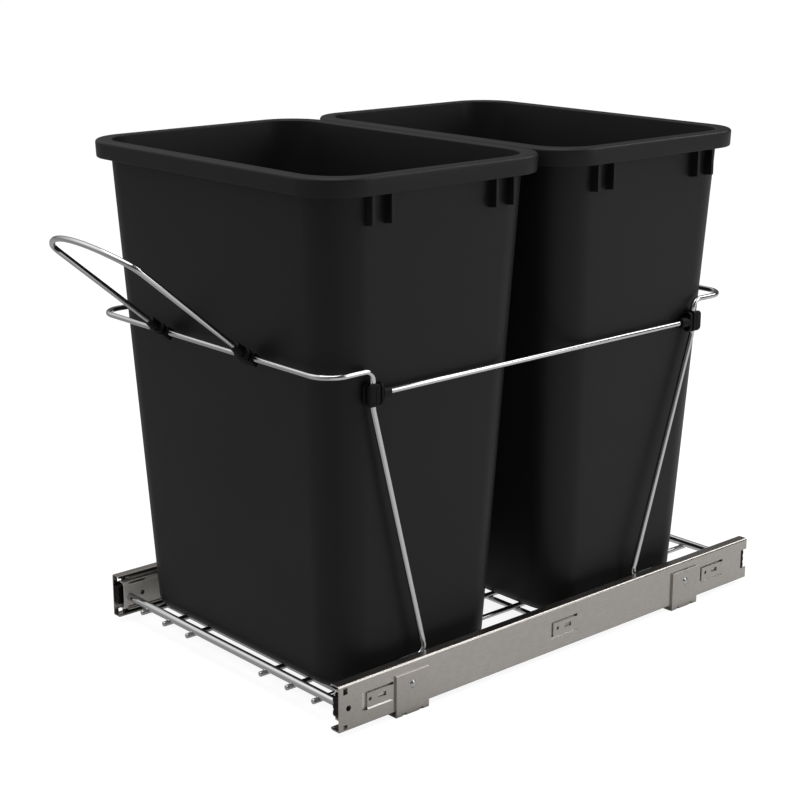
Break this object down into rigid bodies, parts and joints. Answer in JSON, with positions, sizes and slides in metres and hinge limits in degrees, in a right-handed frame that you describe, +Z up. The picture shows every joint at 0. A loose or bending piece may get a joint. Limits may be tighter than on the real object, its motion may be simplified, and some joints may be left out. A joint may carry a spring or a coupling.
{
  "type": "pull-out waste bin unit",
  "caption": "Pull-out waste-bin unit: black tapered plastic bins in a chrome wire carrier on full-extension ball-bearing slides, with floor brackets and a wire pull handle.",
  "frame": {"origin": "centre of the four floor screw holes, on the cabinet floor", "axes": "+Z up, +Y to the back of the cabinet, so the unit pulls out along -Y; +X to the right seen from behind the unit's front, X = 0 is the mirror plane"},
  "size_m": [0.3704, 0.6952, 0.485],
  "materials": {
    "bin_plastic": "fine matte",
    "black_plastic": "satin",
    "chrome_wire": "bright plated",
    "slide_steel": "zinc plated",
    "bracket_steel": "zinc plated",
    "cage_steel": "plain strip",
    "ball_steel": "polished"
  },
  "bodies": {
    "cabinet_rails": {"right_cabinet_member": "slide_steel", "right_front_bracket": "bracket_steel", "right_rear_bracket": "bracket_steel", "right_rear_stop": "black_plastic", "left_cabinet_member": "slide_steel", "left_front_bracket": "bracket_steel", "left_rear_bracket": "bracket_steel", "left_rear_stop": "black_plastic", "bracket_rivets": "bracket_steel"},
    "carriage": {"right_drawer_member": "slide_steel", "right_front_bumper": "black_plastic", "right_side_rail": "chrome_wire", "right_front_clip": "black_plastic", "right_rear_clip": "black_plastic", "right_tray_wire_1": "chrome_wire", "right_tray_wire_2": "chrome_wire", "right_tray_wire_3": "chrome_wire", "left_drawer_member": "slide_steel", "left_front_bumper": "black_plastic", "left_side_rail": "chrome_wire", "left_front_clip": "black_plastic", "left_rear_clip": "black_plastic", "left_tray_wire_1": "chrome_wire", "left_tray_wire_2": "chrome_wire", "left_tray_wire_3": "chrome_wire", "front_rod": "chrome_wire", "rear_rod": "chrome_wire", "front_hoop": "chrome_wire", "rear_hoop": "chrome_wire", "cross_wire_1": "chrome_wire", "cross_wire_2": "chrome_wire", "cross_wire_3": "chrome_wire", "cross_wire_4": "chrome_wire"},
    "handle": {"handle_loop": "chrome_wire", "right_handle_clip": "black_plastic", "left_handle_clip": "black_plastic"},
    "front_bin": {"front_bin": "bin_plastic"},
    "rear_bin": {"rear_bin": "bin_plastic"},
    "right_middle": {"right_middle_member": "slide_steel"},
    "right_outer_cage": {"right_outer_cage": "cage_steel", "right_outer_balls": "ball_steel"},
    "right_inner_cage": {"right_inner_cage": "cage_steel", "right_inner_balls": "ball_steel"},
    "left_middle": {"left_middle_member": "slide_steel"},
    "left_outer_cage": {"left_outer_cage": "cage_steel", "left_outer_balls": "ball_steel"},
    "left_inner_cage": {"left_inner_cage": "cage_steel", "left_inner_balls": "ball_steel"}
  },
  "joints": [
    {"name": "carriage_slide", "type": "slide", "parent": "cabinet_rails", "child": "carriage", "axis": [0, -1, 0], "range_m": [0, 0.558]},
    {"name": "right_middle_slide", "type": "slide", "parent": "cabinet_rails", "child": "right_middle", "axis": [0, -1, 0], "range_m": [0, 0.2795]},
    {"name": "right_outer_cage_slide", "type": "slide", "parent": "cabinet_rails", "child": "right_outer_cage", "axis": [0, -1, 0], "range_m": [0, 0.14]},
    {"name": "right_inner_cage_slide", "type": "slide", "parent": "cabinet_rails", "child": "right_inner_cage", "axis": [0, -1, 0], "range_m": [0, 0.419]},
    {"name": "left_middle_slide", "type": "slide", "parent": "cabinet_rails", "child": "left_middle", "axis": [0, -1, 0], "range_m": [0, 0.2795]},
    {"name": "left_outer_cage_slide", "type": "slide", "parent": "cabinet_rails", "child": "left_outer_cage", "axis": [0, -1, 0], "range_m": [0, 0.14]},
    {"name": "left_inner_cage_slide", "type": "slide", "parent": "cabinet_rails", "child": "left_inner_cage", "axis": [0, -1, 0], "range_m": [0, 0.419]},
    {"name": "handle_tilt", "type": "hinge", "parent": "carriage", "child": "handle", "pos_m": [0, -0.2747, 0.3201], "axis": [-1, 0, 0], "range_deg": [-130, 42]},
    {"name": "front_bin_lift", "type": "slide", "parent": "carriage", "child": "front_bin", "axis": [0, 0, 1], "range_m": [0, 0.33]},
    {"name": "rear_bin_lift", "type": "slide", "parent": "carriage", "child": "rear_bin", "axis": [0, 0, 1], "range_m": [0, 0.33]}
  ],
  "couplings": [
    {"joint": "right_middle_slide", "follows": "carriage_slide", "ratio": 0.5},
    {"joint": "right_outer_cage_slide", "follows": "carriage_slide", "ratio": 0.25},
    {"joint": "right_inner_cage_slide", "follows": "carriage_slide", "ratio": 0.75},
    {"joint": "left_middle_slide", "follows": "carriage_slide", "ratio": 0.5},
    {"joint": "left_outer_cage_slide", "follows": "carriage_slide", "ratio": 0.25},
    {"joint": "left_inner_cage_slide", "follows": "carriage_slide", "ratio": 0.75}
  ]
}
